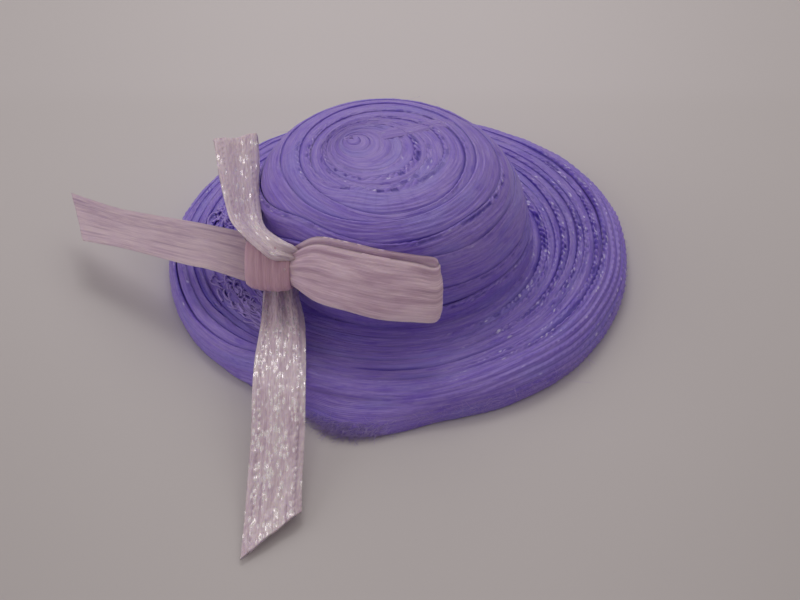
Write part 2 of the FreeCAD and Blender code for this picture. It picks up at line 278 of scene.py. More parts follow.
def ribbon_material(name, light, dark, streak, deep, glint, roughness, glint_metal=0.0, sheen=0.3, coat=0.0,
                    float_size=(0.11, 0.26), blotch=0.2, cast=None, lumps=0.0):
    """Woven satin ribbon: long fine threads, a darker shade between them, and small bright floats made bright
    by painted glints.

    float_size is a float's cell across and along the ribbon and lumps how much the floats stand up, blotch is
    how dark the tufts are, and cast is a second shade that drifts along the ribbon. deep is the colour of the
    painted shade in hollows and under laps, and glint the colour of the painted glints on the floats.
    """
    m = Nodes(name)
    long_streak = m.weave(0.10, 2.4, detail=3.0).outputs["Fac"]
    patch = m.weave(0.9, 3.0).outputs["Fac"]
    fine = m.weave(0.05, 0.9).outputs["Fac"]
    rib = m.weave(YARN_PITCH, 40.0, "ShaderNodeTexWave", wave_type="BANDS", bands_direction="X").outputs["Fac"]
    tint = m.weave(1.3, 5.0).outputs["Fac"]
    tuft = m.weave(0.35, 1.3, detail=3.0).outputs["Fac"]
    cells = m.weave(*float_size, "ShaderNodeTexVoronoi")
    pick = m.tree.nodes.new("ShaderNodeSeparateColor")
    m.tree.links.new(cells.outputs["Color"], pick.inputs[0])
    colour = m.mix(m.ramp(long_streak, 0.32, 0.68), rgb(*dark), rgb(*light))
    shades = [(fine, 0.35, 0.62, 0.45, streak), (patch, 0.35, 0.7, 0.35, light),
              (tint, 0.48, 0.66, 0.5, cast or light), (tuft, 0.55, 0.72, blotch, streak)]
    for field, low, high, strength, shade in shades:
        colour = m.mix(m.times(m.ramp(field, low, high), strength), colour, rgb(*shade))
    # Painted shade: the per-point shade value darkens the colour toward deep.
    painted_shade = m.attribute("painted_shade")
    colour = m.mix(painted_shade, colour, rgb(*deep))
    # Painted glints: where a float's chance passes 1 its colour turns to the glint colour, with less roughness
    # and some metal.
    chance = m.math("ADD", pick.outputs[0], m.attribute("glint"))
    spot = m.times(m.ramp(chance, 1.0, 1.12),
                  m.math("SUBTRACT", 1.0, m.ramp(cells.outputs["Distance"], 0.36, 0.64)))
    spot = m.times(spot, m.math("SUBTRACT", 1.0, painted_shade))
    rough = m.math("SUBTRACT", m.math("ADD", roughness, m.times(patch, 0.12)), m.times(spot, 0.2))
    m.set(Base_Color=m.mix(spot, colour, rgb(*glint)), Roughness=rough, Metallic=m.times(spot, glint_metal))
    m.set(Sheen_Weight=sheen, Sheen_Roughness=0.4, Sheen_Tint=rgb(*(0.5 + 0.5 * k for k in light)))
    m.set(Specular_IOR_Level=0.7, Coat_Weight=coat, Coat_Roughness=0.22)
    m.set(Subsurface_Weight=0.3, Subsurface_Scale=MM, Subsurface_Radius=(0.22, 0.18, 0.42))
    height = m.math("ADD", m.times(fine, 0.6), m.times(rib, 0.35))
    height = m.math("ADD", height, m.times(pick.outputs[1], 0.35))
    height = m.math("ADD", height, m.times(m.weave(*float_size, detail=1.0).outputs["Fac"], lumps))
    m.bump(height, 0.03, 0.8)
    return m.material


HAT = ribbon_material(
    "hat_satin", light=(0.41, 0.30, 0.82), dark=(0.28, 0.17, 0.77), streak=(0.175, 0.085, 0.68),
    deep=(0.07, 0.026, 0.44), cast=(0.29, 0.24, 0.82), glint=(0.66, 0.62, 1.0), glint_metal=0.15,
    roughness=0.42, sheen=0.12, coat=0.2, float_size=(0.14, 0.50), blotch=0.55)
LINING = ribbon_material(
    "lining_satin", light=(0.45, 0.34, 0.86), dark=(0.32, 0.21, 0.77), streak=(0.22, 0.13, 0.66),
    deep=(0.12, 0.06, 0.44), glint=(0.7, 0.7, 0.95), roughness=0.5, sheen=0.2)
# The satin face is smoother and coated. Its colour is lighter than the back's: painted light for its sheen.
BOW_SHINE = ribbon_material(
    "bow_satin_face", light=(0.92, 0.80, 0.88), dark=(0.77, 0.62, 0.72), streak=(0.52, 0.35, 0.47),
    deep=(0.26, 0.14, 0.24), glint=(1.0, 0.93, 0.98), glint_metal=0.4, roughness=0.36, sheen=0.15, coat=0.4,
    float_size=(0.17, 0.42), lumps=2.2)
BOW_DULL = ribbon_material(
    "bow_satin_back", light=(0.80, 0.66, 0.71), dark=(0.64, 0.49, 0.57), streak=(0.46, 0.31, 0.47),
    deep=(0.27, 0.14, 0.30), glint=(0.8, 0.7, 0.78), roughness=0.6)
# The right loop shows the same satin back as the left tail. Its lighter, pinker colour is painted light.
BOW_BACK_LIT = ribbon_material(
    "bow_satin_back_painted_light", light=(1.0, 0.79, 0.93), dark=(0.70, 0.51, 0.65), streak=(0.60, 0.38, 0.53),
    deep=(0.30, 0.13, 0.26), glint=(0.9, 0.78, 0.85), roughness=0.55)
# The knot is wrapped from the same satin. Its darker, deeper pink colour is painted shade.
BOW_KNOT_PAINTED_SHADE = ribbon_material(
    "bow_satin_knot_painted_shade", light=(0.78, 0.52, 0.64), dark=(0.66, 0.40, 0.52), streak=(0.52, 0.28, 0.42),
    deep=(0.30, 0.13, 0.24), glint=(0.8, 0.66, 0.74), roughness=0.5, coat=0.1)


def felt_material(name, colour):
    m = Nodes(name)
    fuzz = m.noise(9000.0, Detail=4.0, Roughness=0.7)
    patch = m.noise(700.0, Detail=2.0)
    tone = m.mix(m.ramp(fuzz, 0.3, 0.7), toned(colour, 0.72), rgb(*colour))
    tone = m.mix(m.times(m.ramp(patch, 0.4, 0.7), 0.25), tone, toned(colour, 1.12))
    m.set(Base_Color=tone, Roughness=0.95, Sheen_Weight=0.5, Sheen_Roughness=0.6)
    m.bump(fuzz, 0.05, 0.7)
    return m.material


FELT = felt_material("brim_felt", (0.42, 0.33, 0.66))
CAP = felt_material("cap_buckram", (0.62, 0.56, 0.72))


def fibre_material(name, colour):
    m = Nodes(name)
    tone = m.mix(m.noise(1500.0), toned(colour, 0.8), toned(colour, 1.2))
    m.set(Base_Color=tone, Roughness=0.4, Sheen_Weight=0.2)
    return m.material


# hat_fibre and rim_fibre are the ribbon's yarn in a colour lighter than the ribbon's: painted light on the
# loose hairs.
HAT_FIBRE = fibre_material("hat_fibre", (0.52, 0.41, 0.82))
RIM_FIBRE = fibre_material("rim_fibre", (0.54, 0.40, 0.80))
HAT_THREAD = fibre_material("hat_thread", (0.44, 0.33, 0.82))


def glue_material():
    m = Nodes("clear_glue")
    noise = m.noise(2500.0, Detail=2.0)
    tone = m.mix(noise, rgb(0.75, 0.72, 0.70), rgb(0.85, 0.83, 0.80))
    m.set(Base_Color=tone, Roughness=0.18, IOR=1.48, Transmission_Weight=0.6)
    m.bump(noise, 0.05, 0.4)
    return m.material


# ---------------- the hat's own shape

CROWN_FOOT, CROWN_TOP = 2.2, 8.162
CROWN_RADIUS, CROWN_FULLNESS = 7.205, 3.73
CROWN_CENTRE, CROWN_LEAN = (0.462, 0.262), (-0.152, -0.016)
BRIM_TOP, BRIM_SLOPE, BRIM_INNER = 2.1, 0.075, 7.6
BRIM_SHIFT = 0.5  # how far the brim's outer edge sits off the head opening's middle, both ways
ROLL_RADIUS, ROLL_CENTRE, ROLL_START = 1.4, 0.45, 11.1
EYE = (-1.6, 1.3)  # the spiral's middle, from the crown's
COIL_RADIUS = 3.4


def crown_curve(share, inset=0.0):
    """Radius and height of the crown, a share of the way up, or of a shell set in from it."""
    r = (CROWN_RADIUS - inset) * (1 - share**CROWN_FULLNESS) ** (1 / CROWN_FULLNESS)
    return r, CROWN_FOOT + (CROWN_TOP - inset - CROWN_FOOT) * share


PROFILE_R, PROFILE_Z = crown_curve(np.linspace(1, 0, 4000))
PROFILE_S = np.concatenate([[0], np.cumsum(np.hypot(np.diff(PROFILE_R), np.diff(PROFILE_Z)))])
CROWN_LENGTH = PROFILE_S[-1]


def crown_surface(theta, s):
    """The crown: s runs from the middle of its top down to its foot. Below the foot it goes straight down."""
    r = np.interp(s, PROFILE_S, PROFILE_R)
    z = np.interp(s, PROFILE_S, PROFILE_Z) - np.maximum(s - CROWN_LENGTH, 0)
    pull = np.clip(1 - np.abs(s) / COIL_RADIUS, 0, 1)
    x = r * np.cos(theta) + EYE[0] * pull
    y = r * np.sin(theta) + EYE[1] * pull
    z = np.where(s < COIL_RADIUS, np.interp(np.hypot(x, y), PROFILE_R, PROFILE_Z), z)
    return np.stack([CROWN_CENTRE[0] + CROWN_LEAN[0] * (z - CROWN_FOOT) + x,
                     CROWN_CENTRE[1] + CROWN_LEAN[1] * (z - CROWN_FOOT) + y, z + 0 * theta], -1)


OUTLINE_BEARINGS = [-180, -150, -130, -105, -75, -50, -25, 0, 15, 40, 60, 90, 130, 150, 180]
OUTLINE_SHIFT = [0.0, 0.0, -0.2, 0.0, -0.15, -0.12, -0.27, -0.16, 0.0, 0.0, -0.3, -0.3, 0.0, -0.25, 0.0]


def outline_shift(theta):
    """How far the hand-shaped brim edge leaves a true circle, by bearing."""
    bearing = (np.degrees(theta) + 180.0) % 360.0 - 180.0
    return np.interp(bearing, OUTLINE_BEARINGS, OUTLINE_SHIFT)


def fray(theta):
    """How far the last lap has come loose, by bearing: most near its cut end."""
    bearing = np.degrees(theta)
    return smoothstep(-78.0, -101.0, bearing) * (1 - 0.6 * smoothstep(-103.0, -112.0, bearing)) * (bearing < 0)


def brim_surface(theta, t):
    """The brim: t is the radius on its flat part, then runs on round the rolled edge."""
    centre = np.clip(0.05 + 0.125 * (t - BRIM_INNER), 0, BRIM_SHIFT)
    turn = np.pi / 2 - (t - ROLL_START) / ROLL_RADIUS
    flat = t < ROLL_START
    r = np.where(flat, t, ROLL_START + ROLL_RADIUS * np.cos(turn))
    z = np.where(flat, BRIM_TOP - BRIM_SLOPE * (t - BRIM_INNER), ROLL_CENTRE + ROLL_RADIUS * np.sin(turn))
    loose = fray(theta) * smoothstep(12.2, 13.6, t)
    r = r + 1.1 * loose + outline_shift(theta) * smoothstep(8.0, 12.5, t)
    z = z + 0.05 * loose
    return np.stack([centre + r * np.cos(theta), centre + r * np.sin(theta), z + 0 * theta], -1)


def normals(surface, theta, t):
    turn, step = 0.002, 0.02
    along = surface(theta + turn, t) - surface(theta - turn, t)
    down = surface(theta, t + step) - surface(theta, np.maximum(t - step, 0.0))
    n = unit(np.cross(down, along))
    return np.where(n[..., 2:3] < -0.6, -n, n)


def spiral(bearings, rows, samples):
    """Rows of values, one per lap from the innermost, read at the bearings and smoothed along the winding."""
    blur_degrees = 7.0
    step = samples - 1
    fine = np.linspace(bearings[0], bearings[-1], samples)
    winding = np.concatenate([np.interp(fine[:-1], bearings, row) for row in reversed(rows)] + [rows[0][-1:]])
    winding = blurred(winding, blur_degrees / (bearings[-1] - bearings[0]) * step)
    return [winding[k * step:(k + 1) * step + 1] for k in range(len(rows))][::-1]


# ---------------- one lap of ribbon

LAP_THICK = 0.12
LAP_STEP = 0.045  # from one point to the next, across the ribbon
TUCK = 0.35  # how far the ribbon goes on, hidden, past the strip that shows
SOFT_FLOOR = 0.03  # how gently the ribbon flattens where it meets the floor
SELVEDGE = 0.32
BEAD_PITCH, BEAD_SLANT = 0.46, 1.1
ROPE_PITCH, ROPE_LAY, ROPE_TWIST = 0.36, 16.0, 0.40


def lap(name, surface, theta, edge, gap, rise, strand, bead, cord, run, tooth_size):
    """One turn of ribbon laid on a surface. Its upper edge stands proud of the turn inside it.

    edge is where the upper selvedge lies, gap how much of the ribbon shows, rise how proud the selvedge
    stands, strand how round the visible strip is, bead how lumpy its selvedge is and cord how ropy its face is.
    run is how far along the ribbon each point lies, and u how far in from the selvedge.
    """
    columns = (theta, edge, gap, rise, strand, bead, cord, run)
    theta, edge, gap, rise, strand, bead, cord, run = (k[:, None] for k in columns)

    def drift(cell, layer):
        """A random value that changes along the ribbon only."""
        return grain(0.0, run, 1.0, cell, layer)

    edge = edge + (0.03 + 0.10 * np.clip(strand, 0, 1)) * grain(float(len(name)), run, 1.0, 4.0, 9)
    bead = bead * (0.45 + 0.75 * np.clip(0.5 + 0.9 * drift(2.2, 12), 0, 1))
    shown = np.arange(0, gap.max() + 0.06, LAP_STEP)
    u = np.concatenate([shown, shown[-1] + TUCK * np.array([0.4, 1.0])])[None, :]

    # The strip's own section: proud at the selvedge, falling away to where the next lap covers it.
    share = np.clip(u / gap, 0, 1)
    dome = np.sqrt(np.clip(1 - (2 * share - 1) ** 2, 0, 1))
    over = np.maximum(u - gap, 0)
    height = rise * ((1 - strand) * (1 - share) + strand * dome)
    height = height - (0.05 + 0.3 * over) * smoothstep(0, 0.08, over)
    fall = np.clip(1 - u / 0.09, 0, 1)
    height = height - np.minimum(rise, 0.1) * (1 - np.sqrt(1 - fall**2)) * (1 - strand)

    # Loops of yarn along the selvedge, with a broken groove beside them.
    s = np.clip(u / SELVEDGE, 0, 1)
    tooth = np.abs(np.cos(np.pi * (run / BEAD_PITCH + BEAD_SLANT * s + 0.9 * drift(1.8, 6))))
    tall = np.clip(0.8 + 0.7 * drift(0.5, 13), 0.2, 1.5)
    height = height + bead * (tooth_size * tall * tooth**1.5 - 0.03) * np.sin(np.pi * s) ** 0.8
    dash = smoothstep(0.05, 0.35, drift(0.36, 31)) * np.exp(-((u - 0.17) / 0.11) ** 2) * np.clip(bead, 0, 1)
    height = height - 0.06 * dash

    # Twisted cords, yarns and unevenness over the face.
    ropes = np.cos(TAU * (u / ROPE_PITCH + run / ROPE_LAY + 0.25 * grain(u, run, 1.5, 4.0, 3)))
    turns = run / ROPE_TWIST + 0.8 * u / ROPE_PITCH + grain(u, run, 1.2, 2.0, 14)
    twist = 0.5 + 0.5 * np.cos(TAU * turns)
    height = height + cord * (0.028 * ropes + 0.05 * twist * np.maximum(ropes, 0))
    visible = 1 - smoothstep(-0.02, 0.03, u - gap)
    yarns = 0.006 * np.cos(TAU * u / YARN_PITCH + 4 * grain(u, run, 1.0, 3.0, 5))
    yarns = yarns + 0.022 * grain(u, run, 0.11, 0.8, 1) + 0.035 * grain(u, run, 0.40, 2.6, 2)
    height = height + visible * yarns

    where = edge + u + np.minimum(bead, 1.0) * 0.09 * (1 - tooth) * (1 - s) ** 2
    bearing = theta + 0 * u
    top = surface(bearing, where) + normals(surface, bearing, where) * height[..., None]
    back = np.array([1.0, 0.55, 0.12, 0.0])[None, :] * u[:, -1:]
    back_rise = rise * (1 - np.clip(back / gap, 0, 1)) * (1 - strand)
    back_height = back_rise - LAP_THICK - 0.3 * np.maximum(back - gap, 0)
    bearing, where = theta + 0 * back, edge + back
    bottom = surface(bearing, where) + normals(surface, bearing, where) * back_height[..., None]
    points = np.concatenate([top, bottom], 1)
    points[..., 2] = SOFT_FLOOR * (1 + np.logaddexp(0, (points[..., 2] - SOFT_FLOOR) / SOFT_FLOOR))

    # Painted shade under the next lap, at the selvedge and between beads and cords; painted glints on beads and
    # cords.
    proud = np.clip(rise / 0.1, 0, 1)
    broken = np.clip(0.6 + 0.7 * drift(1.6, 15) + strand * drift(5.0, 16), 0.05, 1.0)
    painted_shade = broken * np.exp(-((np.maximum(gap - u, 0) / (0.11 + 0.11 * strand)) ** 2)) * proud
    painted_shade = np.maximum(painted_shade, (1 - np.clip(u / 0.05, 0, 1)) * 0.5 * proud)
    painted_shade = np.maximum(painted_shade, np.clip(bead, 0, 1) * 0.8 * (1 - tooth) ** 2 * (1 - 0.8 * s))
    painted_shade = np.maximum(painted_shade, dash)
    hollows = np.clip(-ropes, 0, 1) ** 3 + 0.9 * np.clip(ropes, 0, 1) * (1 - twist) ** 3
    painted_shade = np.maximum(painted_shade, visible * np.clip(cord, 0, 1) * 0.5 * hollows)
    bead_glint = 5.6 * tooth_size * np.clip(bead, 0, 1.3) * tooth**2 * np.sin(np.pi * np.clip(s, 0, 0.999))
    cord_glint = 0.20 * np.clip(cord, 0, 1.3) * twist * np.clip(ropes, 0, 1) ** 2
    glint = visible * (0.015 + bead_glint + cord_glint)
    plain = np.zeros_like(back_height)
    uv = np.stack(np.broadcast_arrays(np.concatenate([u, back], 1), run), -1)
    return grid_mesh(name, points, uv, HAT, np.concatenate([painted_shade, plain], 1), caps=False,
                     glint=np.concatenate([glint, plain], 1))


# Where each lap's upper edge lies, by bearing. Going round once, a lap ends where the lap inside it starts.
CROWN_BEARINGS = [90, 135, 180, 200, 225, 245, 270, 295, 315, 340, 360, 405, 450]
COIL_TURNS = [0.0, 0.26, 0.60, 0.95, 1.32, 1.72, 2.14, 2.58, 3.0]
CROWN_EDGES = [
    [3.9, 3.8, 3.75, 3.75, 3.6, 3.0, 3.05, 3.0, 3.0, 3.15, 3.3, 3.4, 3.0],
    [5.0, 4.6, 4.35, 4.35, 4.4, 4.5, 4.75, 4.65, 4.55, 4.4, 4.4, 4.3, 3.9],
    [5.9, 5.8, 5.6, 5.35, 5.35, 5.3, 5.15, 5.0, 4.9, 4.9, 4.95, 5.0, 5.0],
    [7.6, 7.6, 7.5, 7.0, 6.0, 6.15, 6.35, 6.25, 6.05, 6.25, 6.35, 6.1, 5.9],
    [9.0, 9.1, 9.2, 8.7, 7.3, 6.95, 7.1, 7.3, 7.4, 7.3, 7.55, 7.6, 7.6],
    [10.2, 10.3, 10.3, 10.1, 9.6, 9.3, 9.1, 9.2, 9.3, 9.4, 9.3, 9.1, 9.0],
    [11.0, 11.0, 11.0, 10.9, 10.5, 10.3, 10.2, 10.3, 10.1, 10.35, 10.5, 10.4, 10.2],
]
# How proud each upper edge stands, in hundredths of a millimetre, and how beaded it is, in tenths.
CROWN_RISE = [
    [6, 6, 7, 7, 6, 5, 5, 5, 6, 7, 7, 6, 6],
    [5, 5, 7, 6, 4, 4, 4, 4, 5, 7, 8, 7, 6],
    [5, 6, 8, 8, 8, 9, 10, 8, 5, 4, 4, 4, 5],
    [8, 9, 10, 10, 8, 5, 6, 8, 9, 9, 8, 6, 5],
    [9, 10, 12, 12, 12, 10, 8, 6, 5, 3, 3, 6, 8],
    [9, 9, 9, 9, 9, 8, 6, 6, 5, 5, 5, 7, 9],
    [8, 8, 9, 9, 9, 9, 9, 8, 8, 8, 8, 8, 9],
]
CROWN_BEAD = [
    [5, 5, 8, 10, 9, 9, 9, 9, 10, 10, 9, 6, 5],
    [2, 2, 6, 5, 2, 1, 1, 1, 2, 4, 5, 3, 5],
    [2, 2, 3, 3, 2, 1, 1, 1, 1, 1, 2, 2, 2],
    [3, 3, 6, 7, 5, 3, 4, 8, 10, 9, 6, 3, 2],
    [4, 4, 5, 4, 2, 2, 2, 2, 2, 2, 3, 4, 3],
    [5, 5, 5, 4, 3, 3, 4, 5, 5, 5, 6, 6, 4],
    [8, 7, 6, 5, 5, 7, 9, 10, 10, 10, 10, 8, 5],
]
CROWN_STAND = 1.5
COIL_RISE = [0.03, 0.03, 0.02, 0.02, 0.012, 0.02, 0.035, 0.03]
COIL_BEAD = [0.0, 0.1, 0.1, 0.1, 0.1, 0.5, 1.2, 0.5]


BRIM_BEARINGS = [-115, -90, -75, -60, -45, -20, 0, 20, 45, 90, 135, 180, 210, 225, 245]
BRIM_EDGES = [
    [6.8, 6.85, 6.9, 7.0, 7.1, 7.35, 7.45, 7.45, 7.4, 7.3, 6.9, 6.65, 6.65, 6.65, 6.5],
    [7.6, 7.7, 7.8, 7.8, 7.85, 7.95, 8.0, 8.0, 8.0, 8.05, 7.8, 7.6, 7.6, 7.4, 6.8],
    [8.3, 8.3, 8.3, 8.25, 8.25, 8.35, 8.35, 8.4, 8.5, 8.55, 8.4, 8.3, 8.3, 8.1, 7.6],
    [8.8, 8.75, 8.7, 8.6, 8.6, 8.7, 8.75, 8.8, 8.9, 9.0, 9.0, 8.9, 8.9, 8.8, 8.3],
    [9.15, 9.1, 9.0, 8.85, 8.9, 9.0, 9.05, 9.1, 9.3, 9.4, 9.5, 9.5, 9.5, 9.4, 8.8],
    [9.6, 9.45, 9.3, 9.15, 9.15, 9.35, 9.45, 9.5, 9.6, 9.8, 10.0, 10.1, 10.15, 9.95, 9.15],
    [9.95, 9.85, 9.7, 9.42, 9.5, 9.7, 9.85, 9.9, 9.95, 10.2, 10.5, 10.7, 10.7, 10.5, 9.6],
    [10.35, 10.25, 10.1, 9.8, 9.9, 10.15, 10.2, 10.2, 10.3, 10.6, 11.0, 11.2, 11.15, 11.0, 9.95],
    [10.75, 10.65, 10.5, 10.15, 10.35, 10.7, 10.75, 10.7, 10.75, 11.0, 11.5, 11.7, 11.7, 11.5, 10.35],
    [11.05, 11.0, 10.85, 10.6, 10.8, 11.1, 11.15, 11.15, 11.2, 11.5, 12.0, 12.3, 12.3, 12.1, 10.75],
]
BRIM_SIDES = [0.13, 0.14, 0.13, 0.08, 0.05, 0.08, 0.16, 0.18, 0.11, 0.01]
ROW_STAND = [1.25, 0.7, 1.0, 0.55, 1.1, 0.65, 1.2, 0.6, 1.2, 1.1]
ROW_BEAD = [0.5, 1.3, 1.1, 0.35, 1.25, 0.5, 0.9, 0.45, 1.3, 1.0]
LOW_FRONT = [0.01, 0.01, 0.01, 0.02, 0.04]
BRIM_FRONTS = [
    [0.02, 0.02, 0.02, 0.03, 0.05], LOW_FRONT, LOW_FRONT, LOW_FRONT, [0.04, 0.06, 0.07, 0.07, 0.07], LOW_FRONT,
    [0.05, 0.10, 0.10, 0.10, 0.09], [0.01, 0.01, 0.02, 0.03, 0.05], [0.02, 0.05, 0.06, 0.06, 0.06],
    [0.01, 0.01, 0.02, 0.03, 0.06],
]
BRIM_RISE = [front + [stand * k for k in BRIM_SIDES[:-1]] + BRIM_SIDES[-1:]
             for front, stand in zip(BRIM_FRONTS, ROW_STAND)]
BRIM_BEAD = [0.0, 0.0, 0.1, 0.3, 0.6, 1.1, 1.2, 1.1, 0.5, 0.2, 0.2, 0.3, 0.2, 0.1, 0.0]
BRIM_STRAND = [0.0, 0.0, 0.0, 0.0, 0.1, 0.3, 0.35, 0.3, 0.1, 0.1, 0.35, 0.8, 0.85, 0.6, 0.0]
EDGE_CORD = [0.2, 0.2, 0.3, 0.5, 0.9, 1.2, 1.3, 1.2, 0.5, 0.3, 0.3, 0.4, 0.3, 0.2, 0.2]
BRIM_END = 13.75


def wind(surface, radius, names, bearings, edges, rises, strands, beads, cords, tooth_size, last_end, samples):
    """Builds a run of laps, outermost last, whose windings join end to start."""
    theta = np.radians(np.linspace(bearings[0], bearings[-1], samples))
    tables = (edges, rises, strands, beads, cords)
    edge, rise, strand, bead, cord = (spiral(bearings, rows, samples) for rows in tables)
    outer = np.full(samples, last_end)
    run_start = 0.0
    pieces = []
    for k in reversed(range(len(edges))):
        middle = radius(edge[k])
        run = run_start + np.concatenate([[0], np.cumsum(0.5 * (middle[1:] + middle[:-1]) * np.diff(theta))])
        run_start = run[-1]
        gap = np.maximum(outer - edge[k], 0.05)
        outer = edge[k]
        pieces.append(lap(names[k], surface, theta, edge[k], gap, rise[k], strand[k], bead[k], cord[k], run,
                          tooth_size))
    return pieces[::-1]


def level(values, stations):
    """A row of equal values for each one given."""
    return [[k] * len(stations) for k in values]


BRIM_LAPS = [str(k) for k in range(1, len(BRIM_EDGES))] + ["edge"]
inner_laps = len(BRIM_LAPS) - 1
brim_pieces = wind(
    brim_surface, lambda edge: np.minimum(edge, 12.5), [f"brim_winding_{k}" for k in BRIM_LAPS], BRIM_BEARINGS,
    BRIM_EDGES, BRIM_RISE, strands=[BRIM_STRAND] * inner_laps + level([0.0], BRIM_BEARINGS),
    beads=[[share * k for k in BRIM_BEAD] for share in ROW_BEAD],
    cords=[[0.5 * k for k in EDGE_CORD]] * inner_laps + [EDGE_CORD],
    tooth_size=0.11, last_end=BRIM_END, samples=1000)
for k, piece in zip(BRIM_LAPS, brim_pieces):
    place(piece, "hat_ribbon", f"brim_lap_{k}")

coils = len(COIL_TURNS) - 1
crown_names = [f"crown_coil_{k}" for k in range(1, coils + 1)] + [f"crown_winding_{k}" for k in range(1, 7)]
crown_names.append("crown_winding_6_foot")
coil_edges = [np.linspace(COIL_TURNS[k + 1], COIL_TURNS[k], len(CROWN_BEARINGS)) for k in range(coils)]
crown_pieces = wind(
    crown_surface, lambda edge: np.interp(edge, PROFILE_S, PROFILE_R), crown_names, CROWN_BEARINGS,
    coil_edges + CROWN_EDGES,
    rises=level(COIL_RISE, CROWN_BEARINGS) + [[CROWN_STAND * (k / 100) for k in row] for row in CROWN_RISE],
    strands=level([0.0] * len(crown_names), CROWN_BEARINGS),
    beads=level(COIL_BEAD, CROWN_BEARINGS) + [[k / 10 for k in row] for row in CROWN_BEAD],
    cords=level([0.12] * len(crown_names), CROWN_BEARINGS),
    tooth_size=0.05, last_end=CROWN_LENGTH + 0.3, samples=700)
for k, piece in enumerate(crown_pieces):
    turn = k + 1 - coils
    place(piece, "hat_ribbon", "crown_tip_coil" if turn < 1 else f"crown_lap_{min(turn, 6)}")

CROWN_HEIGHT = CROWN_TOP - CROWN_FOOT
TOP_MIDDLE = [centre + lean * CROWN_HEIGHT for centre, lean in zip(CROWN_CENTRE, CROWN_LEAN)]


def top_height(x, y):
    """Height of the crown over a point near its middle."""
    return np.interp(np.hypot(x - TOP_MIDDLE[0], y - TOP_MIDDLE[1]), PROFILE_R, PROFILE_Z)


def start_strip():
    """The ribbon's first end, which lies flat across the right half of the spiral."""
    rows, across, thick = 90, 24, 0.1
    long, wide = 4.6, 0.95
    low = spline([(-1.15, 1.20), (-0.96, 1.12), (0.09, 1.50), (1.32, 1.93), (2.70, 2.62), (3.95, 3.05)], rows)
    high = spline([(-1.15, 1.75), (-0.97, 1.92), (0.09, 2.40), (1.32, 2.82), (2.55, 3.45), (3.7, 3.95)], rows)
    w = np.linspace(0, 1, across)[None, :]
    x, y = (low[:, None, k] * (1 - w) + high[:, None, k] * w for k in (0, 1))
    along = np.linspace(0, 1, rows)[:, None]
    run = along * long + 0 * w
    u = w * wide + 0 * run
    ends = smoothstep(0, 0.25, along) * smoothstep(1.0, 0.9, along)
    lift = (0.004 + 0.05 * np.sqrt(1 - np.abs(2 * w - 1) ** 3)) * ends - 0.03 * (1 - ends)
    lift = lift + 0.012 * grain(u, run, 0.09, 0.8, 41) + 0.02 * grain(u, run, 0.3, 2.0, 42)
    z = top_height(x, y)
    top = np.stack([x, y, z + lift], -1)
    bottom = np.stack([x, y, z - thick], -1)
    # Painted shade along the strip's two edges, and a faint even painted glint.
    painted_shade = 0.1 * (1 - smoothstep(0, 0.05, np.minimum(w, 1 - w))) + 0 * run
    piece = grid_mesh("crown_start_strip", both(top, bottom), np.stack([both(u), both(run)], -1), LINING,
                      both(painted_shade), glint=np.full((rows, 2 * across), 0.05))
    place(piece, "hat_ribbon", "crown_tip_coil")


start_strip()

# ---------------- the hat's inside and underside


def turned(name, outline, centre, material, lean=(0, 0)):
    """A ring with the given outline of (radius, height) points."""
    theta = np.linspace(0, TAU, 160, endpoint=False)[:, None]
    r, z = (np.array([p[k] for p in outline])[None, :] for k in (0, 1))
    x = centre[0] + lean[0] * (z - CROWN_FOOT) + r * np.cos(theta)
    y = centre[1] + lean[1] * (z - CROWN_FOOT) + r * np.sin(theta)
    points = np.stack([x, y, z + 0 * theta], -1)
    across = np.cumsum(np.hypot(np.diff(r, prepend=r[:, :1]), np.diff(z, prepend=z[:, :1])), 1)
    return grid_mesh(name, points, np.stack([across + 0 * theta, theta * r], -1), material, loop=True)


def cap_outline():
    """The stiffened cap's wall: up its outer face and down its inner one."""
    inset, wall, foot = 0.35, 0.4, 0.35
    share = np.linspace(0, 1, 48)
    outer = np.stack(crown_curve(share, inset), -1)
    inner = np.stack(crown_curve(share[::-1], inset + wall), -1)
    return [(CROWN_RADIUS - inset, foot), *outer, *inner, (CROWN_RADIUS - inset - wall, foot)]


BRIM_RING = [(7.3, 0.35), (7.3, 1.75), (7.5, 1.8), (9.3, 1.75), (10.6, 1.0), (10.6, 0.35)]
HEAD_BAND = [(6.2, 0.0), (6.2, 1.0), (6.2, 2.0), (6.2, 3.0), (6.27, 3.03), (6.35, 3.0), (6.35, 1.5),
             (6.35, 0.0), (6.27, 0.0)]
place(turned("crown_cap", cap_outline(), CROWN_CENTRE, CAP, lean=CROWN_LEAN), "stiffened_cap", "crown_form")
place(turned("brim_ring", BRIM_RING, (BRIM_SHIFT / 2, BRIM_SHIFT / 2), CAP), "stiffened_cap", "brim_form")
place(turned("sweat_band", HEAD_BAND, (0, 0), LINING), "lining_ribbon", "head_band")


def facing():
    """The felt ring under the brim, with a slightly uneven surface."""
    inner, outer, base, top = 6.4, 12.15, 0.03, 0.29
    theta = np.linspace(0, TAU, 220, endpoint=False)[:, None]
    share = np.linspace(0, 1, 22)[None, :]
    r = inner + (outer - inner) * share
    x = BRIM_SHIFT * share + r * np.cos(theta)
    y = BRIM_SHIFT * share + r * np.sin(theta)
    wave = 0.015 * grain(x, y, 1.2, 1.2, 7) + 0.006 * grain(x, y, 0.2, 0.2, 8)
    edge = 0.06 * (1 - np.sqrt(1 - np.clip(np.abs(2 * share - 1), 0, 1) ** 24))
    low = np.stack([x, y, base + np.maximum(wave, -0.02) + edge], -1)
    high = np.stack([x, y, top + wave - edge], -1)
    return grid_mesh("brim_felt_facing", both(high, low), None, FELT, loop=True)


felt = place(facing(), "felt", "brim_facing")

# ---------------- the bow

BOW_THICK = 0.15
BOW_STEP = 0.075  # from one point to the next, along a strip
BOW_BEAD_PITCH = 0.38
BOW_BEAD_INSET = 0.42


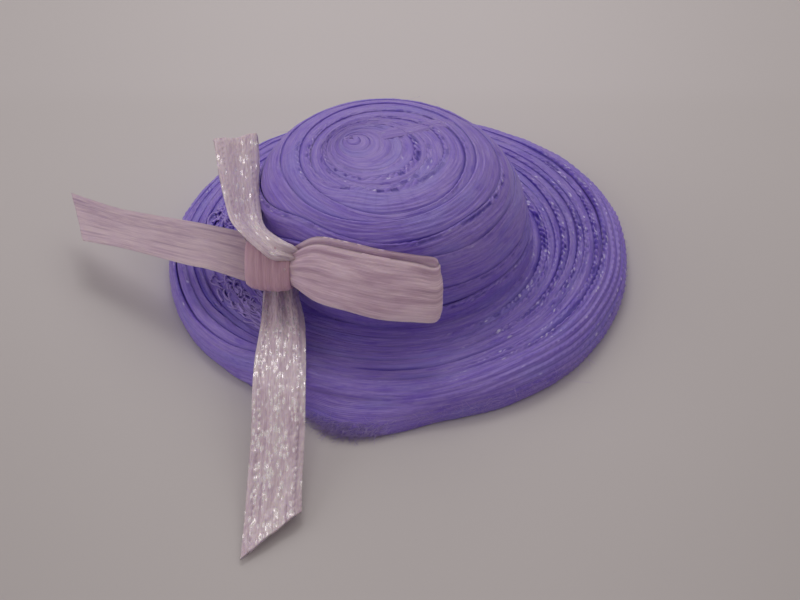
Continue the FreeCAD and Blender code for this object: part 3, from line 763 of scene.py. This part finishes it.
def bow_ribbon(name, edge_a, edge_b, material, bulge, pleats, stripes, beads, out=1, fine=1.0, shine=0.0):
    """A strip between two edge lines, its upper face toward out times (along cross across).

    A pleat is (folds, size), and a stripe is (place across, width, strength), a dark line laid into the painted
    shade. beads is how lumpy the woven edges are, fine how uneven the face is and shine how much it sparkles
    with painted glints.
    """
    rows = int(max(run_along(e)[-1] for e in (edge_a, edge_b)) / BOW_STEP)
    a, b = spline(edge_a, rows), spline(edge_b, rows)
    w = np.linspace(0, 1, 44)[None, :]
    mid = a[:, None] * (1 - w[..., None]) + b[:, None] * w[..., None]
    run = run_along(a)[:, None] * (1 - w) + run_along(b)[:, None] * w
    width = np.linalg.norm(b - a, axis=1)[:, None]
    flat_width = np.median(width)
    u = w * flat_width + 0 * run
    n = unit(np.cross(np.gradient(mid, axis=0), np.gradient(mid, axis=1))) * out
    curve = bulge * (1 - (2 * w - 1) ** 2)
    tight = np.clip(1 - width / flat_width, 0, 1)
    for folds, size in pleats:
        curve = curve + size * (0.25 + tight) * np.cos(TAU * (w * folds))
    inset = np.minimum(u, flat_width - u)
    knob = np.abs(np.cos(np.pi * run / BOW_BEAD_PITCH))
    bead_rows = np.exp(-((inset - BOW_BEAD_INSET) / 0.09) ** 2) + 0.8 * np.exp(-((inset - 0.06) / 0.08) ** 2)
    relief = beads * bead_rows * (0.045 * knob - 0.01)
    yarns = 0.010 * np.cos(TAU * u / YARN_PITCH) + (0.016 + 0.02 * shine) * grain(u, run, 0.09, 0.32, 1)
    relief = relief + fine * (yarns + 0.012 * grain(u, run, 0.2, 1.2, 2) + 0.02 * grain(u, run, 0.8, 3.0, 3))
    half = 0.5 * BOW_THICK * np.sqrt(1 - np.abs(2 * w - 1) ** 10)
    top = mid + n * (curve + half + relief * (0.35 + 0.65 * smoothstep(0, 0.1, inset)))[..., None]
    low = mid + n * (curve - half + 0.4 * relief)[..., None]
    # Painted shade between the knobs of each woven edge and along the stripes.
    painted_shade = beads * np.exp(-((inset - BOW_BEAD_INSET) / 0.06) ** 2) * (1 - knob) * 0.5
    broken = np.clip(0.45 + 0.9 * grain(u, run, 0.3, 1.5, 21), 0, 1)
    for where, wide, strength in stripes:
        painted_shade = np.maximum(painted_shade, strength * broken * np.exp(-((w - where) / wide) ** 2))
    # Painted glints, most along the bead rows and the middle of the strip.
    middle = np.exp(-((u - 0.5 * flat_width) / 0.45) ** 2)
    columns = np.exp(-((inset - BOW_BEAD_INSET) / 0.10) ** 2) + 0.8 * middle
    sparkle = shine * (0.52 + 0.50 * columns) * np.clip(0.9 + 0.6 * grain(u, run, 0.7, 2.0, 22), 0, 1.2)
    uv = np.stack([both(u, u + 5), both(run)], -1)
    return grid_mesh(name, both(top, low), uv, material, both(painted_shade), glint=both(sparkle, 0.3 * sparkle))


front_tail = bow_ribbon(
    "bow_front_tail",
    [(-6.45, -5.35, 4.55), (-6.52, -5.0, 3.9), (-6.6, -4.79, 3.3), (-6.63, -5.51, 3.1), (-6.66, -7.3, 2.95),
     (-6.88, -9.97, 2.75), (-6.92, -12.24, 2.45), (-6.9, -14.24, 1.75), (-6.98, -16.25, 1.1),
     (-7.05, -18.38, 0.55), (-7.09, -19.81, 0.3), (-7.16, -21.37, 0.17)],
    [(-5.35, -5.35, 4.55), (-5.1, -5.0, 3.9), (-4.82, -4.79, 3.3), (-4.72, -5.51, 3.1), (-4.39, -7.3, 2.95),
     (-4.26, -9.97, 2.75), (-4.23, -12.24, 2.45), (-4.21, -14.24, 1.75), (-4.27, -16.25, 1.1),
     (-4.29, -17.4, 0.8), (-4.27, -18.47, 0.55)],
    BOW_SHINE, bulge=0.1, beads=1.0, pleats=((2.5, 0.12),), shine=1.0,
    stripes=((0.11, 0.02, 0.5), (0.26, 0.02, 0.5), (0.74, 0.02, 0.5), (0.88, 0.02, 0.5)))
place(front_tail, "bow_ribbon", "bow_tail_front")


left_tail = bow_ribbon(
    "bow_left_tail",
    [(-6.9, -2.9, 4.85), (-7.56, -2.3, 4.8), (-9.65, -1.25, 4.5), (-11.05, -0.5, 4.2), (-14.38, 1.35, 3.4),
     (-16.11, 2.62, 2.95), (-17.64, 3.86, 2.55)],
    [(-6.7, -6.05, 4.5), (-7.37, -5.85, 4.45), (-9.43, -4.52, 4.15), (-10.8, -3.75, 3.85),
     (-14.09, -1.55, 3.05), (-15.77, -0.5, 2.55), (-16.65, 0.03, 2.3)],
    BOW_DULL, bulge=0.12, beads=0.15, fine=0.9, out=-1, pleats=((3.0, 0.05),),
    stripes=((0.13, 0.014, 0.9), (0.2, 0.012, 0.9), (0.34, 0.014, 0.8), (0.5, 0.012, 0.6),
             (0.63, 0.014, 0.7), (0.78, 0.014, 0.9), (0.87, 0.012, 0.8)))
place(left_tail, "bow_ribbon", "bow_tail_left")

upper_loop = bow_ribbon(
    "bow_upper_loop",
    [(-4.78, -5.9, 5.8), (-5.36, -6.1, 6.1), (-6.05, -6.12, 6.25), (-6.85, -5.65, 6.65), (-7.84, -4.75, 7.08),
     (-8.25, -3.9, 7.05), (-8.6, -2.56, 7.25), (-8.96, -0.89, 7.55), (-9.31, 1.3, 7.9), (-9.42, 1.85, 7.8),
     (-9.36, 1.8, 7.3), (-9.0, 0.5, 6.95), (-8.6, -1.6, 6.6), (-8.0, -3.6, 6.2), (-7.2, -4.6, 5.6)],
    [(-4.7, -5.36, 6.3), (-4.95, -5.46, 6.6), (-5.55, -4.98, 6.62), (-6.25, -4.1, 6.5), (-6.52, -3.35, 6.25),
     (-6.68, -2.5, 6.05), (-6.85, -1.08, 6.1), (-6.98, 0.62, 6.4), (-7.15, 3.0, 7.05), (-7.22, 3.5, 6.95),
     (-7.15, 3.4, 6.5), (-7.0, 1.6, 6.0), (-6.9, -0.5, 5.7), (-6.7, -2.5, 5.3), (-6.4, -3.7, 5.0)],
    BOW_SHINE, bulge=0.1, beads=1.0, out=1, pleats=((2.0, 0.1),), shine=1.25, stripes=((0.97, 0.06, 0.55),))
place(upper_loop, "bow_ribbon", "bow_loop_upper")

right_loop = bow_ribbon(
    "bow_right_loop",
    [(-5.5, -5.75, 5.9), (-5.03, -5.55, 6.1), (-3.77, -5.8, 6.95), (-2.19, -6.48, 7.15), (-0.49, -6.92, 7.05),
     (1.28, -7.15, 6.85), (2.15, -7.15, 6.55), (2.46, -6.98, 6.55), (2.3, -6.75, 6.85), (1.28, -6.85, 7.12),
     (-0.49, -6.62, 7.3), (-2.19, -6.15, 7.42), (-3.77, -5.45, 7.15), (-5.0, -5.0, 6.1)],
    [(-5.5, -6.6, 4.9), (-5.03, -6.56, 4.77), (-3.77, -7.72, 4.7), (-2.19, -8.55, 4.8), (-0.49, -9.03, 4.65),
     (1.28, -9.15, 4.58), (2.2, -9.0, 4.4), (2.5, -8.7, 4.42), (2.33, -8.35, 4.35), (1.28, -8.25, 4.4),
     (-0.49, -8.1, 4.5), (-2.19, -7.65, 4.5), (-3.77, -7.0, 4.5), (-5.0, -6.2, 4.6)],
    BOW_BACK_LIT, bulge=0.17, beads=0.15, fine=0.35, out=-1, pleats=((2.5, 0.055),),
    stripes=((0.11, 0.05, 0.7), (0.29, 0.05, 0.45), (0.47, 0.05, 0.4), (0.66, 0.05, 0.4), (0.85, 0.04, 0.3)))
place(right_loop, "bow_ribbon", "bow_loop_right")

KNOT_CENTRE = np.array([-6.2, -5.55, 5.25])
KNOT_ALONG = unit(np.array([0.97, -0.22, 0.03]))
KNOT_UP = unit(np.array([0.0, 0.66, 0.75]))
KNOT_OUT = unit(np.cross(KNOT_ALONG, KNOT_UP))


def by_the_knot(along, up, out):
    """Points set off from the knot's middle in its own three directions."""
    return KNOT_CENTRE + KNOT_ALONG * along[..., None] + KNOT_UP * up[..., None] + KNOT_OUT * out[..., None]


def knot_core():
    """The bow's ribbons gathered into folds where they pass through the knot."""
    reach, size, tall, deep = 1.32, 0.86, 1.22, 0.70
    x = np.linspace(-1, 1, 40)[:, None]
    angle = np.linspace(0, TAU, 160, endpoint=False)[None, :]
    dome = np.maximum(1 - np.abs(x) ** 5, 0.002) ** 0.5
    folds = 1 + 0.07 * np.cos(9 * angle + 0.5 * x) + 0.04 * np.cos(17 * angle - x)
    r = size * dome * folds
    points = by_the_knot(x * reach, tall * r * np.cos(angle), deep * r * np.sin(angle))
    uv = np.stack(np.broadcast_arrays(angle * 1.1, x * reach), -1)
    # Painted shade in the hollows between the folds.
    painted_shade = 0.6 * np.clip(1 - folds, 0, 0.1) / 0.1
    return grid_mesh("bow_gathered_core", points, uv, BOW_DULL, painted_shade)


def knot():
    """The band of gathered ribbon wrapped once round the middle of the bow."""
    length, tall, deep, squareness = 1.18, 1.28, 0.75, 2.6
    angle = np.linspace(0, TAU, 120, endpoint=False)[:, None]
    x = np.linspace(-1, 1, 48)[None, :]
    barrel = (1 - 0.16 * np.abs(x) ** 3) * (1 - 0.05 * x)
    gather = 0.012 * np.cos(TAU * x * 2.6 + 0.8 * grain(x, angle, 0.5, 1.0, 4))
    gather = gather + 0.022 * grain(x, angle, 0.14, 1.6, 5)
    square = (np.abs(np.cos(angle)) ** squareness + np.abs(np.sin(angle)) ** squareness) ** (-1 / squareness)
    outside = square * barrel + gather
    faces = [by_the_knot(x * length, r * tall * np.cos(angle), r * deep * np.sin(angle))
             for r in (outside, outside - BOW_THICK)]
    uv = np.stack([both(x * length + 0 * angle), both(angle + 0 * x)], -1)
    return grid_mesh("bow_wrapped_knot", both(*faces), uv, BOW_KNOT_PAINTED_SHADE, loop=True)


place(knot_core(), "bow_ribbon", "bow_core")
place(knot(), "bow_ribbon", "bow_knot")

glue_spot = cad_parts["bow_glue"]
glue_spot.data.materials.clear()
glue_spot.data.materials.append(glue_material())

# ---------------- loose fibres


def fibres(name, paths, radius, material, sides=3):
    """Thin threads along the given paths, in one mesh. Each thins to half its radius at its end."""
    corner = TAU * np.arange(sides) / sides
    points, faces = [], []
    start = 0
    for path in paths:
        p = np.asarray(path)
        n = len(p)
        along = unit(np.gradient(p, axis=0))
        side = unit(np.cross(along, [0.13, 0.2, 1.0]))
        other = np.cross(along, side)
        size = radius * np.linspace(1.0, 0.5, n)[:, None]
        ring = np.stack([p + size * (math.cos(c) * side + math.sin(c) * other) for c in corner], 1)
        points.append(ring.reshape(-1, 3))
        k = np.arange(n - 1)[:, None] * sides + start
        for c in range(sides):
            d = (c + 1) % sides
            faces.append(np.stack([k + c, k + d, k + sides + d, k + sides + c], -1).reshape(-1, 4))
        start += sides * n
    verts, quads = np.vstack(points) * MM, np.vstack(faces)
    me = bpy.data.meshes.new(name)
    me.from_pydata(verts.tolist(), [], quads.tolist())
    me.polygons.foreach_set("use_smooth", np.ones(len(quads), bool))
    return place(add_object(name, me, material), "hat_ribbon")


def hair(base, heading, bend, reach):
    """A bent hair, kept above the floor."""
    along = np.linspace(0, 1, 9)[:, None]
    path = base + heading * reach * along + bend * reach * along**2
    path[:, 2] = np.maximum(path[:, 2], 0.02)
    return path


def brim_frame(bearing, t):
    """A point on the brim with its outward and clockwise directions."""
    base = brim_surface(np.array([bearing]), np.array([t]))[0]
    outward = np.array([math.cos(bearing), math.sin(bearing), 0.0])
    clockwise = np.array([math.sin(bearing), -math.cos(bearing), 0.0])
    return base, outward, clockwise


def frayed_end():
    """Loose threads at the ribbon's last cut end."""
    rng = np.random.default_rng(5)
    paths = []
    for _ in range(800):
        base, outward, clockwise = brim_frame(math.radians(rng.normal(-102, 5)), rng.uniform(13.0, 13.75))
        heading = clockwise * rng.normal(0.8, 0.5) + outward * rng.uniform(0.1, 1.0)
        heading = unit(heading + [0, 0, rng.normal(-0.1, 0.3)])
        paths.append(hair(base, heading, rng.normal(0, 0.25, 3), rng.uniform(0.15, 0.65)))
    return paths


# Short hairs and a few long ones: count, bearings, places on the brim, outward lean, sideways spread, lift,
# bend and lengths.
EDGE_HAIRS = [
    (1100, (-100, 40), (12.8, 13.6), (0.1, 0.8), 1.0, 0.0, 0.3, (0.10, 0.32)),
    (26, (-85, -35), (12.4, 13.3), (0.2, 1.0), 0.8, 0.1, 0.5, (0.5, 1.3)),
]


def edge_fuzz():
    """Hairs that stand off the brim's front edge."""
    rng = np.random.default_rng(9)
    paths = []
    for count, bearings, places, lean, spread, lift, bend, lengths in EDGE_HAIRS:
        for _ in range(count):
            base, outward, clockwise = brim_frame(math.radians(rng.uniform(*bearings)), rng.uniform(*places))
            heading = outward * rng.uniform(*lean) + clockwise * rng.normal(0, spread)
            heading = unit(heading + [0, 0, rng.normal(lift, 0.3)])
            paths.append(hair(base, heading, rng.normal(0, bend, 3), rng.uniform(*lengths)))
    return paths


def crown_hairs():
    """Fine hairs over the crown's shoulder."""
    rng = np.random.default_rng(12)
    paths = []
    for _ in range(46):
        bearing = math.radians(rng.uniform(35, 175))
        base = crown_surface(np.array([bearing]), np.array([rng.uniform(2.8, 6.0)]))[0]
        tangent = np.array([-math.sin(bearing), math.cos(bearing), 0.0]) * rng.choice([-1, 1])
        heading = unit(tangent + [0.0, 0.1, rng.uniform(0.05, 0.45)])
        paths.append(hair(base, heading, rng.normal(0, 0.25, 3) - [0, 0, 0.3], rng.uniform(0.5, 1.6)))
    return paths


def tangled_threads(zones):
    """Curled threads pulled up from between the laps at the left of the brim."""
    rng = np.random.default_rng(21)
    paths = []
    for low, high, inner, outer, count in zones:
        for _ in range(count):
            bearing = math.radians(rng.uniform(low, high))
            base, outward, clockwise = brim_frame(bearing, rng.uniform(inner, outer))
            turns, size = rng.uniform(0.5, 1.3), rng.uniform(0.10, 0.24)
            phase, drift = rng.uniform(0, TAU), rng.uniform(0.3, 1.0)
            k = np.linspace(0, 1, 30)[:, None]
            angle = phase + TAU * turns * k
            curl = np.cos(angle) * outward + 1.5 * np.sin(angle) * clockwise
            path = base + size * curl + drift * (k - 0.5) * clockwise
            paths.append(path + np.array([0, 0, 1.0]) * (0.07 + 0.09 * np.sin(angle * 1.3 + phase)))
    return paths


def loose_strands():
    """Threads that lie slack along the rows between the tangle and the front."""
    rng = np.random.default_rng(33)
    paths = []
    for _ in range(90):
        start, turn = rng.uniform(203, 224), rng.uniform(8, 15)
        inner, slip = rng.uniform(7.9, 10.4), rng.uniform(-0.9, -0.1)
        k = np.linspace(0, 1, 26)
        bearing = np.radians(start + turn * k)
        t = inner + slip * k + 0.06 * np.sin(TAU * (2 * k + rng.uniform(0, 1)))
        path = brim_surface(bearing, t)
        path[:, 2] += 0.06 + 0.07 * np.sin(math.pi * k)
        paths.append(path)
    return paths


def eye_thread():
    """The tight roll at the very middle of the spiral."""
    k = np.linspace(0, 1, 70)[:, None]
    angle = TAU * 2.5 * k
    x = TOP_MIDDLE[0] + EYE[0] + 0.50 * (1 - k) * np.cos(angle)
    y = TOP_MIDDLE[1] + EYE[1] + 0.17 * (1 - k) * np.sin(angle)
    return [np.concatenate([x, y, top_height(x, y) - 0.03], 1)]


TANGLES = [(190, 213, 9.1, 10.4, 34), (160, 172, 9.0, 10.4, 26), (213, 226, 8.6, 9.6, 10)]
fibres("hat_frayed_end", frayed_end(), 0.010, HAT_FIBRE)
fibres("hat_edge_fuzz", edge_fuzz(), 0.0065, RIM_FIBRE)
fibres("hat_crown_hairs", crown_hairs(), 0.006, HAT_FIBRE)
fibres("hat_tangled_threads", tangled_threads(TANGLES), 0.075, HAT_THREAD, sides=6)
fibres("hat_loose_strands", loose_strands(), 0.055, HAT_THREAD, sides=6)
fibres("crown_eye_thread", eye_thread(), 0.055, HAT_THREAD, sides=8)

# ---------------- floor, light, camera

# The paper's colour, a lighter copy for painted light behind the hat, and a darker copy for painted falloff.
PAPER, PAPER_PAINTED_LIGHT, PAPER_PAINTED_FALLOFF = rgb(0.72, 0.70, 0.70), rgb(0.745, 0.725, 0.73), rgb(0.555, 0.535, 0.53)
PAPER_CLOUD = rgb(0.62, 0.61, 0.61)


def floor():
    """Plain paper with painted light: lighter past a faint line behind the hat, and a painted falloff darker to
    the sides and the front.
    """
    m = Nodes("floor_paper")
    where = m.node("ShaderNodeTexCoord").outputs["Object"]
    split = m.node("ShaderNodeSeparateXYZ", Vector=where)
    # Painted light: lighter past a faint line behind the hat.
    tone = m.mix(m.ramp(split.outputs["Y"], 0.0148, 0.0178), PAPER, PAPER_PAINTED_LIGHT)
    # Painted falloff: darker to the sides and toward the front.
    aside = m.ramp(m.math("ABSOLUTE", split.outputs["X"]), 0.004, 0.030)
    nearer = m.ramp(split.outputs["Y"], 0.012, -0.030)
    away = m.math("ADD", m.times(aside, 0.55), m.times(nearer, 0.45))
    tone = m.mix(away, tone, PAPER_PAINTED_FALLOFF)
    tone = m.mix(m.times(m.noise(60.0, Detail=2.0), 0.08), tone, PAPER_CLOUD)
    m.set(Base_Color=tone, Roughness=0.85, Specular_IOR_Level=0.2)
    m.bump(m.noise(4000.0, Detail=2.0), 0.01, 0.3)
    me = bpy.data.meshes.new("floor")
    size = 0.6
    corners = [(-size, -size, 0), (size, -size, 0), (size, size, 0), (-size, size, 0)]
    me.from_pydata(corners, [], [(0, 1, 2, 3)])
    plane = add_object("floor", me, m.material)


floor()


def area_light(name, position, size, watts, colour):
    """A rectangular lamp that points at the hat."""
    data = bpy.data.lights.new(name, "AREA")
    data.shape = "RECTANGLE"
    data.size, data.size_y = size
    data.energy = watts
    data.color = colour
    lamp = bpy.data.objects.new(name, data)
    lamp.location = position
    lamp.rotation_euler = (-Vector(position)).to_track_quat("-Z", "Y").to_euler()
    bpy.context.scene.collection.objects.link(lamp)


area_light("ceiling_window", (0.07, 0.06, 0.16), (0.18, 0.12), 0.036, (1.0, 0.955, 0.94))
area_light("ceiling_core", (-0.02, 0.10, 0.165), (0.08, 0.06), 0.052, (1.0, 0.96, 0.95))
area_light("back_window", (-0.03, 0.26, 0.15), (0.20, 0.16), 0.085, (1.0, 0.95, 0.93))
area_light("side_window", (-0.24, -0.03, 0.12), (0.24, 0.18), 0.125, (1.0, 0.96, 0.97))

world = bpy.data.worlds.new("room")
world.use_nodes = True
world.node_tree.nodes["Background"].inputs["Color"].default_value = rgb(0.50, 0.445, 0.435)
world.node_tree.nodes["Background"].inputs["Strength"].default_value = 0.60
bpy.context.scene.world = world

scene = bpy.context.scene
scene.view_settings.view_transform = "Standard"
scene.view_settings.look = "None"
scene.view_settings.exposure = 0.0
scene.view_settings.gamma = 1.0

camera_data = bpy.data.cameras.new("camera")
camera_data.lens = 108.0
camera_data.sensor_width = 36.0
camera_data.clip_start = 0.005
camera_data.clip_end = 5.0
camera = bpy.data.objects.new("camera", camera_data)
eye_point = Vector((0.51858, -99.6255, 85.6571)) * MM
aim_point = Vector((0.51858, -5.63362, 3.0)) * MM
camera.location = eye_point
camera.rotation_euler = (aim_point - eye_point).to_track_quat("-Z", "Y").to_euler()
scene.collection.objects.link(camera)
scene.camera = camera
